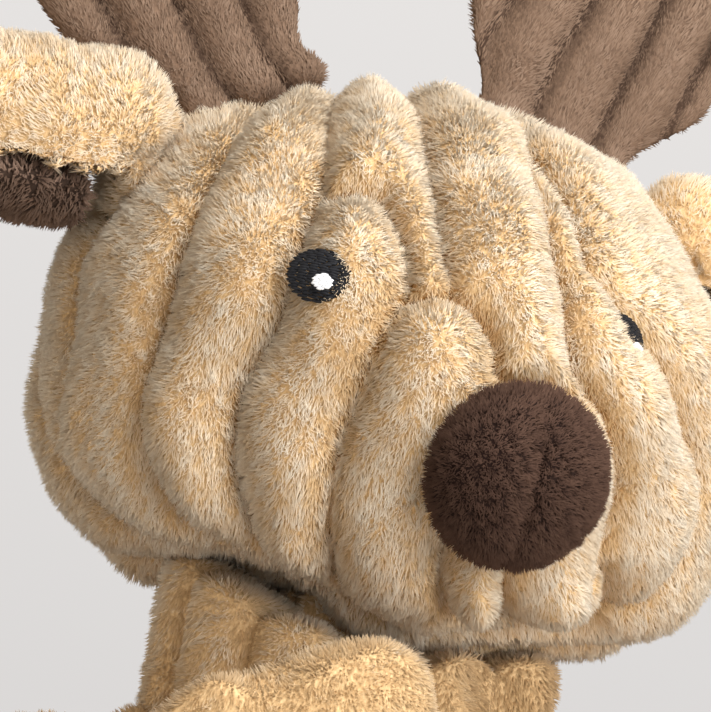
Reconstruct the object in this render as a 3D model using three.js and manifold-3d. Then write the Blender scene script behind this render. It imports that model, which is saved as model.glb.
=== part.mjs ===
import * as THREE from 'three';
import { mergeVertices } from 'three/addons/utils/BufferGeometryUtils.js';
import Module from 'manifold-3d';

const wasm = await Module();
wasm.setup();

// A plush deer that sits upright and faces -Y, with its limbs tied in overhand knots.
// Millimetres, +Z up. The origin is the centre of the flat seat under the body.

// Head, an oval ball of ribbed plush whose ribs run from the chin over the crown to the nape
const headHalfWidth = 75;
const headHalfDepth = 75;
const headHalfHeight = 64;
const ovalFullness = 2;
const cheekFullness = 2.6;
const headSetBack = 14;
const headRibCount = 18;
const headRibDepth = 4.5;
const headRibTilt = THREE.MathUtils.degToRad(33);

// Body, a pear of ribbed plush that is flat where it sits
const bodyHeight = 112;
const bodyHalfWidth = 46;
const bodyHalfDepth = 42;
const bodyRibCount = 12;
const bodyRibDepth = 3.5;

// Plush cover, stuffing and the clearance that touching pieces keep
const coverWall = 2.5;
const clearance = 0.35;
const rootClearance = 0.45;
const dentClearance = 2.2;
const seamClearance = 0.3;

// Neck, a ball of stuffing held in the mouths of the head and the body
const neckBallRadius = 23;
const neckRise = 2;

// Muzzle panel, nose and eyes
const muzzleRadius = 34;
const muzzleRise = 7;
const muzzleSpread = 30;
const noseHalfWidth = 19.7;
const noseHalfHeight = 19.2;
const noseHalfDepth = 10;
const noseDrop = 15;
const eyeHalfWidth = 6.4;
const eyeHalfHeight = 5.6;
const eyeHalfDepth = 2.6;
const rightEyeSpread = 41;
const leftEyeSpread = 27;
const eyeRise = 16;
const glintRadius = 1.7;
const glintHalfDepth = 1;
const glintDrop = 2.2;
const glintShift = 1.9;

// Ears, thick padded leaves of plush over a darker, thinner padded lining
const earLength = 74;
const earHalfWidth = 21;
const earTopDepth = 25;
const earHollow = 5;
const earRootRadius = 8;
const earSpread = 64;
const earBack = 1;
const earRoll = THREE.MathUtils.degToRad(-18);
const earLift = THREE.MathUtils.degToRad(-3);
const liningDepth = 14;

// Antlers, flat stuffed palms of ribbed plush with three rounded tines
const antlerHalfWidth = 30;
const antlerHalfThickness = 9;
const antlerPalmLength = 62;
const antlerTineLength = 38;
const antlerTineHalfWidth = 12;
const antlerRootRadius = 6.5;
const antlerRootHalfWidth = 19;
const antlerSpread = 37;
const antlerBack = 8;
const rightAntlerLean = THREE.MathUtils.degToRad(38);
const leftAntlerLean = THREE.MathUtils.degToRad(22);
const antlerTilt = THREE.MathUtils.degToRad(18);
const antlerTineFan = THREE.MathUtils.degToRad(26);

// Limbs, stuffed tubes that are pinched where they are sewn on and drawn thin in the knot
const armRadius = 13.5;
const legRadius = 15;
const limbRootRadius = 9;
const limbKnotRadius = 8.2;
const knotPitch = 0.93 * limbKnotRadius;
const limbSides = 7;
const limbStep = 7.5;
const shoulderDrop = 20;
const shoulderTurn = THREE.MathUtils.degToRad(95);
const hipHeight = 20;
const hipTurn = THREE.MathUtils.degToRad(28);
const floorCut = 0.5;

// Tail, a stub of plush on the back of the body
const tailLength = 34;
const tailRadius = 12;
const tailRootRadius = 7;
const tailHeight = 28;
const tailLift = THREE.MathUtils.degToRad(25);

// Squeakers, one in the head and one in the belly
const squeakerRadius = 17;
const squeakerHeight = 20;
const squeakerWall = 1.5;
const reedRadius = 5;
const reedHeight = 9;

// Section counts of the round forms, and the rings along the longer ones
const ballSides = 20;
const socketSides = 16;
const squeakerSides = 16;
const rootSides = 12;
const padSides = 12;
const dentSides = 8;
const tailSides = 10;
const pointsPerRib = 3;
const headRings = 13;
const headFillRings = 10;
const bodyRings = 9;
const fillRings = 6;
const tailRings = 8;
const earRings = 10;
const palmRings = 7;
const tineRings = 5;

const shoulderHeight = bodyHeight - shoulderDrop;
const neckCentre = new THREE.Vector3(0, 0, bodyHeight + neckRise);
const headAboveNeck = headHalfHeight * lowerShare(headSetBack / headHalfDepth);
const headCentre = new THREE.Vector3(0, headSetBack, neckCentre.z + headAboveNeck);

const group = new THREE.Group();
group.name = 'plush_deer';

// Solids and meshes

function solidOf(geometry) {
  const bare = geometry.clone();
  bare.deleteAttribute('normal');
  bare.deleteAttribute('uv');
  const merged = mergeVertices(bare);
  return new wasm.Manifold(new wasm.Mesh({
    numProp: 3,
    vertProperties: new Float32Array(merged.attributes.position.array),
    triVerts: new Uint32Array(merged.index.array),
  }));
}

function geometryOf(solid) {
  const mesh = solid.getMesh();
  const geometry = new THREE.BufferGeometry();
  geometry.setAttribute('position', new THREE.BufferAttribute(new Float32Array(mesh.vertProperties), 3));
  geometry.setIndex(new THREE.BufferAttribute(new Uint32Array(mesh.triVerts), 1));
  geometry.computeVertexNormals();
  return geometry;
}

const finishes = {
  tan_plush: { color: 0xc9a97c, roughness: 0.95, metalness: 0 },
  brown_plush: { color: 0x8d6e56, roughness: 0.95, metalness: 0 },
  lining: { color: 0x644d3d, roughness: 0.9, metalness: 0 },
  nose_plush: { color: 0x3a241b, roughness: 0.9, metalness: 0 },
  embroidery: { color: 0x1d1d1f, roughness: 0.6, metalness: 0 },
  glint_thread: { color: 0xf2f1ee, roughness: 0.5, metalness: 0 },
  stuffing: { color: 0xeeece6, roughness: 1, metalness: 0 },
  squeaker_plastic: { color: 0xe9e6dc, roughness: 0.5, metalness: 0 },
};

function addPiece(name, solid, finish) {
  const mesh = new THREE.Mesh(geometryOf(solid), new THREE.MeshStandardMaterial(finishes[finish]));
  mesh.name = name;
  group.add(mesh);
}

// A closed form through rings of points that run anticlockwise about the way the rings go
function closedForm(rings, start, end) {
  const sides = rings[0].length;
  const points = [start, ...rings.flat(), end];
  const last = points.length - 1;
  const faces = [];
  for (let k = 0; k < sides; k += 1) {
    const next = (k + 1) % sides;
    faces.push(0, 1 + next, 1 + k);
    faces.push(last, last - sides + k, last - sides + next);
    for (let ring = 0; ring < rings.length - 1; ring += 1) {
      const low = 1 + ring * sides;
      const high = low + sides;
      faces.push(low + k, low + next, high + next);
      faces.push(low + k, high + next, high + k);
    }
  }
  const geometry = new THREE.BufferGeometry();
  geometry.setAttribute('position', new THREE.Float32BufferAttribute(points.flatMap((p) => p.toArray()), 3));
  geometry.setIndex(faces);
  return solidOf(geometry);
}

function ballAt(centre, radius, sides = rootSides) {
  const ball = new THREE.SphereGeometry(radius, sides, sides / 2);
  ball.translate(centre.x, centre.y, centre.z);
  return solidOf(ball);
}

// An oval ball with its half sizes along three directions
function ovalAt(centre, across, up, out, sides = socketSides) {
  const oval = new THREE.SphereGeometry(1, sides, sides / 2);
  oval.applyMatrix4(new THREE.Matrix4().makeBasis(across, up, out).setPosition(centre));
  return solidOf(oval);
}

function capsuleAt(centre, along, radius, length, sides = rootSides) {
  const capsule = new THREE.CapsuleGeometry(radius, length, sides / 4, sides);
  const turn = new THREE.Quaternion().setFromUnitVectors(new THREE.Vector3(0, 1, 0), along);
  capsule.applyQuaternion(turn);
  capsule.translate(centre.x, centre.y, centre.z);
  return solidOf(capsule);
}

// The value of a table of [place, size] shares, eased between its rows
function shareAt(shares, place) {
  const next = shares.findIndex((row) => row[0] >= place);
  if (next <= 0) {
    return shares[next === 0 ? 0 : shares.length - 1][1];
  }
  const [fromPlace, fromSize] = shares[next - 1];
  const [toPlace, toSize] = shares[next];
  const blend = THREE.MathUtils.smoothstep(place, fromPlace, toPlace);
  return THREE.MathUtils.lerp(fromSize, toSize, blend);
}

// Head cover and stuffing

function headDirection(longitude, polar) {
  const x = Math.sin(polar) * Math.sin(longitude);
  const y = -Math.sin(polar) * Math.cos(longitude);
  const z = Math.cos(polar);
  const tilt = headRibTilt;
  return new THREE.Vector3(
    x,
    y * Math.cos(tilt) + z * Math.sin(tilt),
    z * Math.cos(tilt) - y * Math.sin(tilt),
  );
}

// The head is an oval whose lower half is fuller at the cheeks
function headSurface(direction, grow = 0) {
  const level = Math.hypot(direction.x / headHalfWidth, direction.y / headHalfDepth);
  const upright = Math.abs(direction.z) / headHalfHeight;
  const fullness = direction.z < 0 ? cheekFullness : ovalFullness;
  const reach = (level ** fullness + upright ** fullness) ** (-1 / fullness);
  return direction.clone().multiplyScalar(reach + grow).add(headCentre);
}

function lowerShare(share) {
  return (1 - share ** cheekFullness) ** (1 / cheekFullness);
}

const noseForward = headHalfDepth * lowerShare(noseDrop / headHalfHeight);
const noseSeat = new THREE.Vector3(0, headSetBack - noseForward, headCentre.z - noseDrop);

// Ribs are round between their grooves and fade out where they gather
const ribFade = 2;

function ribRelief(longitude, polar, ribCount, ribDepth) {
  const crest = Math.sqrt(Math.abs(Math.cos((ribCount * longitude) / 2)));
  return ribDepth * (crest - 1) * Math.min(1, ribFade * Math.sin(polar));
}

function muzzleRelief(point) {
  const reach = point.distanceTo(noseSeat) / muzzleSpread;
  return muzzleRise * Math.exp(-reach * reach);
}

// Rings of points around the head, each moved out by growAt
function headRound(sideCount, ringCount, growAt) {
  const rings = [];
  for (let ring = ringCount; ring >= 1; ring -= 1) {
    const polar = (Math.PI * ring) / (ringCount + 1);
    const points = [];
    for (let k = 0; k < sideCount; k += 1) {
      const longitude = (2 * Math.PI * (k + pointsPerRib / 2)) / sideCount;
      const direction = headDirection(longitude, polar);
      points.push(headSurface(direction, growAt(direction, longitude, polar)));
    }
    rings.push(points);
  }
  const chin = headDirection(0, Math.PI);
  const nape = headDirection(0, 0);
  return closedForm(rings, headSurface(chin, growAt(chin, 0, Math.PI)), headSurface(nape, growAt(nape, 0, 0)));
}

function headForm(grow) {
  return headRound(headRibCount * pointsPerRib, headRings, (direction, longitude, polar) => {
    const relief = ribRelief(longitude, polar, headRibCount, headRibDepth);
    return grow + relief + muzzleRelief(headSurface(direction));
  });
}

function headFill(inset) {
  return headRound(ballSides, headFillRings, () => -inset);
}

// Body cover and stuffing

const bodyProfileShares = [
  [0, 0.72], [0.04, 0.84], [0.14, 0.96], [0.3, 1], [0.5, 0.98],
  [0.7, 0.95], [0.84, 0.91], [0.93, 0.84], [0.98, 0.7],
];

const bodyTopShare = 0.98;
const bodyRibFade = 8;

function bodyWidthShare(height) {
  return shareAt(bodyProfileShares, height / bodyHeight);
}

function bodySurface(angle, height, inset) {
  const share = bodyWidthShare(height);
  return new THREE.Vector3(
    Math.sin(angle) * (bodyHalfWidth * share - inset),
    -Math.cos(angle) * (bodyHalfDepth * share - inset),
    height,
  );
}

function bodyForm(inset, ribDepth, sides, ringCount) {
  const rings = [];
  const low = inset;
  const high = bodyHeight - inset;
  for (let ring = 0; ring <= ringCount; ring += 1) {
    const place = 0.5 - 0.5 * Math.cos((Math.PI * ring) / ringCount);
    const height = THREE.MathUtils.lerp(low, high * bodyTopShare, place);
    const points = [];
    for (let k = 0; k < sides; k += 1) {
      const angle = (2 * Math.PI * (k + pointsPerRib / 2)) / sides;
      const relief = ribRelief(angle, Math.PI / 2, bodyRibCount, ribDepth) * Math.min(1, place * bodyRibFade);
      points.push(bodySurface(angle, height, inset - relief));
    }
    rings.push(points);
  }
  return closedForm(rings, new THREE.Vector3(0, 0, low), new THREE.Vector3(0, 0, high));
}

// Squeaker, a hollow bellows with its reed plugged into the mouth below
const bellowsShares = [[0.8, 0], [1, 0.2], [0.86, 0.5], [1, 0.8], [0.8, 1]];
const reedFlangeShare = 1.5;

function squeakerBulb(centre) {
  const foot = centre.z - squeakerHeight / 2;
  const mouth = reedRadius + seamClearance;
  const wall = (radius, low, height) => bellowsShares.map(([wide, high]) => [radius * wide, low + height * high]);
  const outside = wall(squeakerRadius, foot, squeakerHeight);
  const inside = wall(squeakerRadius - squeakerWall, foot + squeakerWall, squeakerHeight - 2 * squeakerWall);
  return latheAt(centre, [
    [mouth, foot],
    ...outside,
    [0, outside.at(-1)[1]],
    [0, inside.at(-1)[1]],
    ...inside.reverse(),
    [mouth, foot + squeakerWall],
    [mouth, foot],
  ]);
}

function squeakerReed(centre) {
  const foot = centre.z - squeakerHeight / 2;
  const flangeRadius = reedRadius * reedFlangeShare;
  return latheAt(centre, [
    [0, foot - squeakerWall - seamClearance],
    [flangeRadius, foot - squeakerWall - seamClearance],
    [flangeRadius, foot - seamClearance],
    [reedRadius, foot - seamClearance],
    [reedRadius, foot + reedHeight],
    [0, foot + reedHeight],
  ]);
}

function latheAt(centre, profile) {
  const lathe = new THREE.LatheGeometry(profile.map(([r, z]) => new THREE.Vector2(r, z)), squeakerSides);
  lathe.rotateX(Math.PI / 2);
  lathe.translate(centre.x, centre.y, 0);
  return solidOf(lathe);
}

// A pocket open towards the neck, which the squeaker was pushed in through
function squeakerPocket(centre, reach) {
  const low = Math.min(centre.z - squeakerHeight / 2, reach) - seamClearance - squeakerWall * 2;
  const high = Math.max(centre.z + squeakerHeight / 2, reach) + seamClearance;
  const pocket = new THREE.CylinderGeometry(
    squeakerRadius + seamClearance,
    squeakerRadius + seamClearance,
    high - low,
    squeakerSides,
  );
  pocket.rotateX(Math.PI / 2);
  pocket.translate(centre.x, centre.y, (low + high) / 2);
  return solidOf(pocket);
}

// Limbs

// Overhand knot, in shares of its pitch: along the limb, across it, and through the knot's flat side
const knotShares = [
  [-2.6, 0, -1.3],
  [-0.5, 0, -0.1],
  [1.4, 0, 1.3],
  [3.5, 0.9, 1.1],
  [4.3, 2.8, -0.1],
  [3.1, 4.7, -1.2],
  [1, 5.1, -1.35],
  [-1.3, 4.4, -0.3],
  [-2.8, 2.4, 0.9],
  [-2.8, 0.1, 1.3],
  [-1.8, -2.1, 0.9],
  [0.1, -2.9, -0.5],
  [1.6, -1.8, -1.3],
  [1.7, 0.2, -1.35],
  [1.2, 2.4, -0.1],
  [1, 4.8, 1.3],
];

function knotPoints(centre, along, across, through) {
  return knotShares.map(([u, v, w]) => centre.clone()
    .addScaledVector(along, u * knotPitch)
    .addScaledVector(across, v * knotPitch)
    .addScaledVector(through, w * knotPitch));
}

// Places further apart along a limb than this many touching widths count as two passes
const passSpacing = 1.6;
const routeFineness = 40;
const gapFineness = 3;

function leastGap(points, radii) {
  let least = Infinity;
  for (let i = 0; i < points.length; i += 1) {
    let along = 0;
    for (let j = i + 1; j < points.length; j += 1) {
      along += points[j].distanceTo(points[j - 1]);
      const touch = radii[i] + radii[j];
      if (along > passSpacing * touch) {
        least = Math.min(least, points[i].distanceTo(points[j]) - touch);
      }
    }
  }
  return least;
}

// Thickness of a limb as shares of its full radius, from its root to the knot and from there to the tip
const limbRootShares = [[0, 0.5], [0.2, 0.54], [0.45, 0.96], [0.6, 0.9]];
const limbTipShares = [[0.25, 0.66], [0.6, 0.98], [0.78, 1], [0.9, 0.86], [0.96, 0.6], [1, 0.25]];
const tipPointShare = 0.12;

// A stuffed tube along a route whose knot starts and ends at two of the route's points
function limbForm(name, route, knotFrom, knotTo, fullRadius) {
  const curve = new THREE.CatmullRomCurve3(route, false, 'centripetal');
  curve.arcLengthDivisions = (route.length - 1) * routeFineness;
  const lengths = curve.getLengths();
  const length = lengths.at(-1);
  const knotStart = lengths[knotFrom * routeFineness];
  const knotEnd = lengths[knotTo * routeFineness];
  const knotShare = limbKnotRadius / fullRadius;
  const radiusAt = (distance) => {
    if (distance < knotStart) {
      return fullRadius * shareAt([...limbRootShares, [1, knotShare]], distance / knotStart);
    }
    const past = (distance - knotEnd) / (length - knotEnd);
    return fullRadius * shareAt([[0, knotShare], ...limbTipShares], past);
  };
  const steps = Math.round(length / limbStep);
  const frames = curve.computeFrenetFrames(steps, false);
  const centres = curve.getSpacedPoints(steps);
  const rings = [];
  for (let i = 0; i <= steps; i += 1) {
    const radius = radiusAt((length * i) / steps);
    const points = [];
    for (let k = 0; k < limbSides; k += 1) {
      const angle = (2 * Math.PI * k) / limbSides;
      points.push(centres[i].clone()
        .addScaledVector(frames.normals[i], radius * Math.cos(angle))
        .addScaledVector(frames.binormals[i], radius * Math.sin(angle)));
    }
    rings.push(points);
  }
  const fine = curve.getSpacedPoints(steps * gapFineness);
  const radii = fine.map((_, i) => radiusAt((length * i) / (steps * gapFineness)));
  console.log(`${name}: ${length.toFixed(0)} mm long, least gap to itself ${leastGap(fine, radii).toFixed(2)} mm`);
  const tip = centres[steps].clone().addScaledVector(frames.tangents[steps], fullRadius * tipPointShare);
  return closedForm(rings, centres[0], tip).add(ballAt(route[0], limbRootRadius));
}

// Everything below the floor is cut away, so that a limb lies on a flat
function cutAtFloor(solid) {
  const reach = bodyHeight * 3;
  const below = new THREE.BoxGeometry(reach, reach, reach);
  below.translate(0, 0, -reach / 2);
  return solid.subtract(solidOf(below));
}

// The arm hangs from the shoulder, is knotted beside the chest and its tip comes up across it
const up = new THREE.Vector3(0, 0, 1);
const armKnotTurn = THREE.MathUtils.degToRad(66);
const armKnotDip = THREE.MathUtils.degToRad(20);
const armKnotStandoff = 4;
const armKnotDrop = 37;
const armHangShares = [1.7, -0.7];
const armKnotReachShare = 2.3;
const rightArmTipShares = [[0.48, -0.5, 0.9], [0.28, -0.535, 0.98], [0.03, -0.5, 0.99]];
const leftArmTipShares = [[0.571, -0.518, 0.884], [0.446, -0.59, 0.946], [0.268, -0.59, 0.946]];

function armRoute(side, tipShares) {
  const pivot = bodySurface(side * shoulderTurn, shoulderHeight, 0);
  const turn = side * armKnotTurn;
  const outward = new THREE.Vector3(Math.sin(turn), -Math.cos(turn), 0);
  const level = new THREE.Vector3(-side * Math.cos(turn), -side * Math.sin(turn), 0);
  const along = level.clone().multiplyScalar(Math.cos(armKnotDip)).addScaledVector(up, -Math.sin(armKnotDip));
  const across = up.clone().multiplyScalar(Math.cos(armKnotDip)).addScaledVector(level, Math.sin(armKnotDip));
  const reach = bodyHalfWidth + armKnotReachShare * limbKnotRadius + armKnotStandoff;
  const centre = outward.clone().multiplyScalar(reach);
  centre.z = shoulderHeight - armKnotDrop;
  const knot = knotPoints(centre, along, across, outward);
  const hangWay = new THREE.Vector3(side * armHangShares[0], 0, armHangShares[1]);
  const hang = pivot.clone().addScaledVector(hangWay, armRadius);
  const tip = tipShares.map(([x, y, z]) => new THREE.Vector3(side * x, y, z).multiplyScalar(bodyHeight));
  return { pivot, route: [pivot, hang, ...knot, ...tip] };
}

const armTips = [['arm_right', -1, rightArmTipShares], ['arm_left', 1, leftArmTipShares]];
const arms = armTips.map(([name, side, tipShares]) => {
  const { pivot, route } = armRoute(side, tipShares);
  return { name, pivot, solid: limbForm(name, route, 2, 1 + knotShares.length, armRadius) };
});

// The leg lies on the floor, is knotted beside the middle line and its foot points ahead
const legKnotTurn = THREE.MathUtils.degToRad(37);
const legKnotSpread = 54;
const legKnotForward = 84;
const legKnotRiseShare = 2.35;
const footSpread = 28;
const heelShares = [1.7, 0.85];
const footReachShare = 1.6;

function legRoute(side) {
  const pivot = bodySurface(side * hipTurn, hipHeight, 0);
  const along = new THREE.Vector3(side * Math.sin(legKnotTurn), -Math.cos(legKnotTurn), 0);
  const across = new THREE.Vector3(-side * Math.cos(legKnotTurn), -Math.sin(legKnotTurn), 0);
  const knotHeight = legKnotRiseShare * limbKnotRadius - floorCut;
  const centre = new THREE.Vector3(side * legKnotSpread, -legKnotForward, knotHeight);
  const knot = knotPoints(centre, along, across, up.clone().negate());
  const [heelReach, heelRise] = heelShares.map((share) => share * legRadius);
  const heel = new THREE.Vector3(side * footSpread, knot.at(-1).y - heelReach, heelRise);
  const foot = new THREE.Vector3(side * footSpread, heel.y - footReachShare * legRadius, legRadius - floorCut);
  return { pivot, route: [pivot, ...knot, heel, foot] };
}

const legs = [['leg_right', -1], ['leg_left', 1]].map(([name, side]) => {
  const { pivot, route } = legRoute(side);
  return { name, pivot, solid: cutAtFloor(limbForm(name, route, 1, knotShares.length, legRadius)) };
});

// Tail

const tailSwellShares = [[0, 0.5], [0.2, 0.6], [0.5, 1], [0.75, 0.94], [0.9, 0.66], [1, 0.25]];

function tailForm() {
  const pivot = bodySurface(Math.PI, tailHeight, 0);
  const along = new THREE.Vector3(0, Math.cos(tailLift), Math.sin(tailLift));
  const across = new THREE.Vector3(-1, 0, 0);
  const through = along.clone().cross(across);
  const solid = ovalTube({
    start: pivot, along, across, through, length: tailLength, shares: tailSwellShares,
    halfWidth: tailRadius, halfThickness: tailRadius, steps: tailRings, sides: tailSides,
  });
  return { pivot, solid: solid.add(ballAt(pivot, tailRootRadius)) };
}

// A closed tube of oval section about a straight axis, where across x through points along it
const tubeEndShare = 0.3;

function ovalTube({ start, along, across, through, length, shares, halfWidth, halfThickness, steps, sides }) {
  const rings = [];
  for (let i = 0; i <= steps; i += 1) {
    const place = i / steps;
    const share = shareAt(shares, place);
    const points = [];
    for (let k = 0; k < sides; k += 1) {
      const angle = (2 * Math.PI * k) / sides;
      points.push(start.clone()
        .addScaledVector(along, length * place)
        .addScaledVector(across, halfWidth * share * Math.cos(angle))
        .addScaledVector(through, halfThickness * share * Math.sin(angle)));
    }
    rings.push(points);
  }
  const end = start.clone().addScaledVector(along, length * (1 + tubeEndShare / steps));
  return closedForm(rings, start.clone(), end);
}

const tail = tailForm();

// Ears

function headPointAbove(x, back) {
  const share = 1 - (x / headHalfWidth) ** 2 - (back / headHalfDepth) ** 2;
  return new THREE.Vector3(x, headCentre.y + back, headCentre.z + headHalfHeight * Math.sqrt(share));
}

function headPointAhead(x, rise) {
  const share = 1 - (x / headHalfWidth) ** 2 - (rise / headHalfHeight) ** 2;
  return new THREE.Vector3(x, headCentre.y - headHalfDepth * Math.sqrt(share), headCentre.z + rise);
}

const earWidthShares = [[0, 0.42], [0.12, 0.66], [0.32, 0.97], [0.5, 1], [0.78, 0.84], [0.93, 0.5], [1, 0.12]];
const liningFromShare = 0.16;
const liningToShare = 0.9;
const liningInsetShare = 0.94;

function earAxes(side) {
  const along = new THREE.Vector3(side * Math.cos(earLift), 0, Math.sin(earLift));
  const crown = new THREE.Vector3(0, Math.sin(earRoll), Math.cos(earRoll));
  const across = crown.clone().cross(along).normalize();
  return { along, across, crown: along.clone().cross(across) };
}

// Lining and leaf share this form: a place along the ear gives its width and its height over the seam
function earSection(side, pivot, from, to, heightAt) {
  const { along, across, crown } = earAxes(side);
  const rings = [];
  for (let i = 0; i <= earRings; i += 1) {
    const place = THREE.MathUtils.lerp(from, to, i / earRings);
    const share = shareAt(earWidthShares, place);
    const points = [];
    for (let k = 0; k < padSides; k += 1) {
      const angle = (2 * Math.PI * k) / padSides;
      const [wide, high] = heightAt(share, Math.cos(angle), Math.sin(angle));
      points.push(pivot.clone()
        .addScaledVector(along, earLength * place)
        .addScaledVector(across, wide)
        .addScaledVector(crown, high));
    }
    rings.push(points);
  }
  const middle = (ring) => ring.reduce((sum, p) => sum.add(p), new THREE.Vector3()).divideScalar(padSides);
  return closedForm(rings, middle(rings[0]), middle(rings.at(-1)));
}

function earLeaf(side, pivot, grow) {
  return earSection(side, pivot, 0, 1, (share, wide, high) => {
    const top = (earTopDepth * share + grow) * Math.max(high, 0);
    const hollow = (earHollow * share - grow) * Math.max(-high, 0);
    return [(earHalfWidth * share + grow) * wide, top + hollow - grow * 0.5];
  });
}

function earLining(side, pivot) {
  const lining = earSection(side, pivot, liningFromShare, liningToShare, (share, wide, high) => {
    const width = earHalfWidth * share * liningInsetShare;
    const depth = high > 0 ? earHollow + clearance : liningDepth;
    return [width * wide, depth * share * high - seamClearance];
  });
  return lining.subtract(earLeaf(side, pivot, seamClearance));
}

const sides = [['right', -1], ['left', 1]];
const ears = sides.map(([word, side]) => {
  const pivot = headPointAbove(side * earSpread, earBack);
  const leaf = earLeaf(side, pivot, 0).add(ballAt(pivot, earRootRadius));
  return { word, pivot, leaf, lining: earLining(side, pivot) };
});

// Antlers

const palmShares = [[0, 0.5], [0.12, 0.62], [0.45, 1.02], [0.8, 1.08], [0.93, 0.95], [1, 0.5]];
const tineShares = [[0, 0.8], [0.3, 1], [0.72, 0.92], [0.9, 0.66], [1, 0.25]];
const tineStartShare = 0.66;
const tineSpreadShare = 0.62;
const middleTineShare = 1.15;
const palmThicknessShare = 0.75;

function antlerAxes(side, lean) {
  const rise = new THREE.Vector3(0, Math.sin(antlerTilt), Math.cos(antlerTilt));
  const outward = new THREE.Vector3(side, 0, 0);
  const along = rise.clone().multiplyScalar(Math.cos(lean)).addScaledVector(outward, Math.sin(lean));
  const across = outward.clone().multiplyScalar(Math.cos(lean)).addScaledVector(rise, -Math.sin(lean));
  return { along, across, through: along.clone().cross(across) };
}

function antlerForm(side, lean, pivot) {
  const { along, across, through } = antlerAxes(side, lean);
  let solid = ovalTube({
    start: pivot, along, across, through, length: antlerPalmLength, shares: palmShares,
    halfWidth: antlerHalfWidth, halfThickness: palmThicknessShare * antlerHalfThickness,
    steps: palmRings, sides: padSides,
  });
  [-1, 0, 1].forEach((fan) => {
    const start = pivot.clone()
      .addScaledVector(along, antlerPalmLength * tineStartShare)
      .addScaledVector(across, fan * antlerHalfWidth * tineSpreadShare);
    solid = solid.add(ovalTube({
      start,
      along: along.clone().applyAxisAngle(through, fan * antlerTineFan),
      across: across.clone().applyAxisAngle(through, fan * antlerTineFan),
      through,
      length: antlerTineLength * (fan === 0 ? middleTineShare : 1),
      shares: tineShares,
      halfWidth: antlerTineHalfWidth,
      halfThickness: antlerHalfThickness,
      steps: tineRings,
      sides: dentSides,
    }));
  });
  const rootLength = 2 * (antlerRootHalfWidth - antlerRootRadius);
  return { solid: solid.add(capsuleAt(pivot, across, antlerRootRadius, rootLength)), across, rootLength };
}

const antlerLeans = [['right', -1, rightAntlerLean], ['left', 1, leftAntlerLean]];
const antlers = antlerLeans.map(([word, side, lean]) => {
  const pivot = headPointAbove(side * antlerSpread, antlerBack);
  return { word, pivot, ...antlerForm(side, lean, pivot) };
});

// Sockets that the roots turn in

function cutAll(solid, tools) {
  return tools.reduce((rest, tool) => rest.subtract(tool), solid);
}

// A cover is cut close to the roots, and the stuffing behind it is dented deeper
const headRoots = (room, dent) => [
  ballAt(neckCentre, neckBallRadius + room, ballSides),
  ...ears.map(({ pivot }) => ballAt(pivot, earRootRadius + room, dent)),
  ...antlers.map(({ pivot, across, rootLength }) => {
    return capsuleAt(pivot, across, antlerRootRadius + room, rootLength, dent);
  }),
];
const bodyRoots = (room, dent) => [
  ballAt(neckCentre, neckBallRadius + room, ballSides),
  ...[...arms, ...legs].map(({ pivot }) => ballAt(pivot, limbRootRadius + room, dent)),
  ballAt(tail.pivot, tailRootRadius + room, dent),
];

// Assembly

const headOuter = headForm(0);
const headSkinInset = headRibDepth + coverWall;
const headShell = headOuter.subtract(headFill(headSkinInset));
const muzzleBall = ballAt(noseSeat, muzzleRadius, ballSides);
const muzzleHole = ballAt(noseSeat, muzzleRadius + seamClearance, ballSides);
const headPlush = headShell.subtract(muzzleHole);
addPiece('head_cover', cutAll(headPlush, headRoots(rootClearance, socketSides)), 'tan_plush');
addPiece('muzzle_cover', headShell.intersect(muzzleBall), 'tan_plush');

const squeakerRiseShare = 0.42;
const headSqueakerCentre = new THREE.Vector3(0, 0, headCentre.z);
const bodySqueakerCentre = new THREE.Vector3(0, 0, bodyHeight * squeakerRiseShare);
const headPocket = squeakerPocket(headSqueakerCentre, neckCentre.z);
const bodyPocket = squeakerPocket(bodySqueakerCentre, neckCentre.z);
const headFilling = headFill(headSkinInset + clearance);
addPiece('head_stuffing', cutAll(headFilling, [...headRoots(dentClearance, dentSides), headPocket]), 'stuffing');
addPiece('neck_stuffing', ballAt(neckCentre, neckBallRadius, ballSides), 'stuffing');

const bodyOuter = bodyForm(0, bodyRibDepth, bodyRibCount * pointsPerRib, bodyRings);
const bodySkinInset = bodyRibDepth + coverWall;
const bodyShell = bodyOuter.subtract(bodyForm(bodySkinInset, 0, socketSides, fillRings));
addPiece('body_cover', cutAll(bodyShell, bodyRoots(rootClearance, socketSides)), 'tan_plush');
const bodyFill = bodyForm(bodySkinInset + clearance, 0, socketSides, fillRings);
addPiece('body_stuffing', cutAll(bodyFill, [...bodyRoots(dentClearance, dentSides), bodyPocket]), 'stuffing');

[['head', headSqueakerCentre], ['body', bodySqueakerCentre]].forEach(([word, centre]) => {
  addPiece(`${word}_squeaker_bulb`, squeakerBulb(centre), 'squeaker_plastic');
  addPiece(`${word}_squeaker_reed`, squeakerReed(centre), 'squeaker_plastic');
});

// Nose and eyes lie on the plush and follow it
const plushFace = headForm(seamClearance);
const noseOut = new THREE.Vector3(
  0,
  -((noseForward / headHalfDepth) ** (cheekFullness - 1)) / headHalfDepth,
  -((noseDrop / headHalfHeight) ** (cheekFullness - 1)) / headHalfHeight,
).normalize();
const noseUp = new THREE.Vector3(0, noseOut.z, -noseOut.y);
const noseCentre = noseSeat.clone().addScaledVector(noseOut, muzzleRise);
addPiece('nose', ovalAt(
  noseCentre,
  new THREE.Vector3(noseHalfWidth, 0, 0),
  noseUp.clone().multiplyScalar(noseHalfHeight),
  noseOut.clone().multiplyScalar(noseHalfDepth),
).subtract(plushFace), 'nose_plush');

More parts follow.
